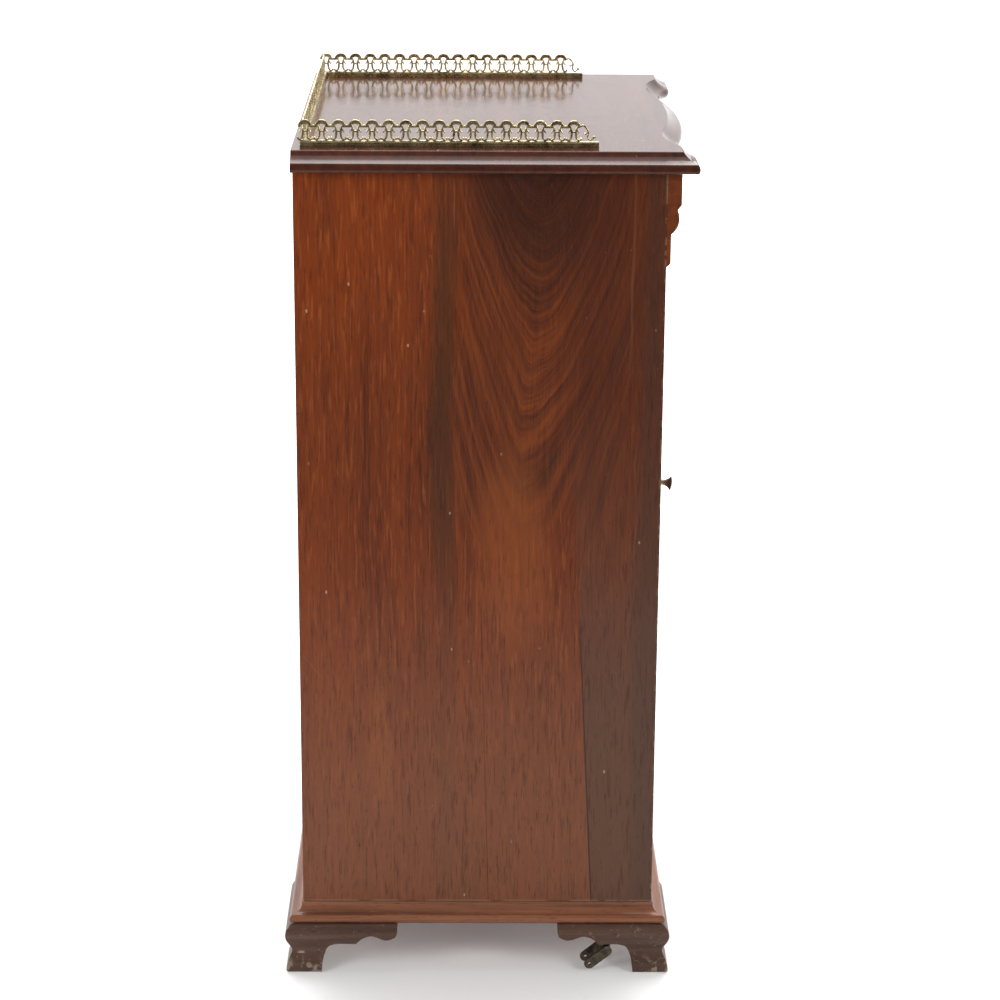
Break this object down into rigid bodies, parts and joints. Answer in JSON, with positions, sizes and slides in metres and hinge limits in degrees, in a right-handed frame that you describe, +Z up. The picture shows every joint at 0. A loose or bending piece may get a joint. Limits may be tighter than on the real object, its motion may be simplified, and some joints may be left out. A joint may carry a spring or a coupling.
{
  "type": "music roll cabinet",
  "caption": "Tall narrow wooden case with a hinged door over shelves for music rolls, a pierced brass gallery on its top and ogee bracket feet.",
  "frame": {"origin": "on the floor, under the middle of the whole outline", "axes": "+Z up, +Y to the back of the cabinet, +X to the right seen from the front"},
  "size_m": [0.528, 0.4195, 0.907],
  "materials": {
    "case_wood": "old polished mahogany, orange-brown with darker streaks",
    "top_wood": "high polish over dark mahogany",
    "base_wood": "worn dark mahogany",
    "door_wood": "old polished mahogany",
    "inner_wood": "unpolished pale wood",
    "gallery_brass": "dull cast brass, bright on the high points",
    "hinge_brass": "dull brass",
    "knob_brass": "brown tarnished brass",
    "screw_steel": "dull steel",
    "caster_brass": "dark tarnished brass"
  },
  "bodies": {
    "cabinet": {"side_left": "case_wood", "side_right": "case_wood", "frieze": "case_wood", "top_rail": "case_wood", "top": "top_wood", "base_rail_front": "base_wood", "base_rail_back": "base_wood", "base_rail_left": "base_wood", "base_rail_right": "base_wood", "foot_front_left_side": "base_wood", "foot_front_left_end": "base_wood", "foot_front_right_side": "base_wood", "foot_front_right_end": "base_wood", "foot_back_left_side": "base_wood", "foot_back_left_end": "base_wood", "foot_back_right_side": "base_wood", "foot_back_right_end": "base_wood", "case_bottom": "inner_wood", "sub_top": "inner_wood", "dust_board": "inner_wood", "shelf_1": "inner_wood", "shelf_2": "inner_wood", "shelf_3": "inner_wood", "shelf_4": "inner_wood", "door_stop": "inner_wood", "back_boards": "inner_wood", "foot_blocks": "inner_wood", "gallery_rail_left": "gallery_brass", "gallery_rail_right": "gallery_brass", "gallery_rail_back": "gallery_brass", "gallery_fret_left": "gallery_brass", "gallery_fret_right": "gallery_brass", "gallery_fret_back": "gallery_brass", "gallery_pins": "gallery_brass", "hinge_lower_case_leaf": "hinge_brass", "hinge_upper_case_leaf": "hinge_brass", "hinge_pins": "hinge_brass", "catch_strike": "hinge_brass", "side_brass_screws": "hinge_brass", "case_screws": "screw_steel", "caster_socket_front_left": "caster_brass", "caster_socket_front_right": "caster_brass", "caster_socket_back_left": "caster_brass", "caster_socket_back_right": "caster_brass"},
    "door": {"door_stile_left": "door_wood", "door_stile_right": "door_wood", "door_rail_top": "door_wood", "door_rail_bottom": "door_wood", "door_panel": "door_wood", "door_beads": "door_wood", "knob": "knob_brass", "knob_screw": "screw_steel", "hinge_lower_door_leaf": "hinge_brass", "hinge_upper_door_leaf": "hinge_brass", "door_brass_screws": "hinge_brass", "catch_cup": "hinge_brass", "catch_spring": "screw_steel"},
    "catch_ball": {"catch_ball": "screw_steel"},
    "caster_front_left": {"caster_horn_front_left": "caster_brass"},
    "caster_front_right": {"caster_horn_front_right": "caster_brass"}
  },
  "joints": [
    {"name": "door_hinge", "type": "hinge", "parent": "cabinet", "child": "door", "pos_m": [0.226, -0.18305, 0.429], "axis": [0, 0, 1], "range_deg": [0, 175]},
    {"name": "catch_ball_slide", "type": "slide", "parent": "door", "child": "catch_ball", "axis": [1, 0, 0], "range_m": [0, 0.0017], "stiffness_N_per_m": 300, "deforming": ["catch_spring"]},
    {"name": "caster_swivel_front_left", "type": "hinge", "parent": "cabinet", "child": "caster_front_left", "pos_m": [-0.245, -0.13025, 0.045], "axis": [0, 0, 1], "continuous": true},
    {"name": "caster_swivel_front_right", "type": "hinge", "parent": "cabinet", "child": "caster_front_right", "pos_m": [0.245, -0.13025, 0.045], "axis": [0, 0, 1], "continuous": true}
  ]
}
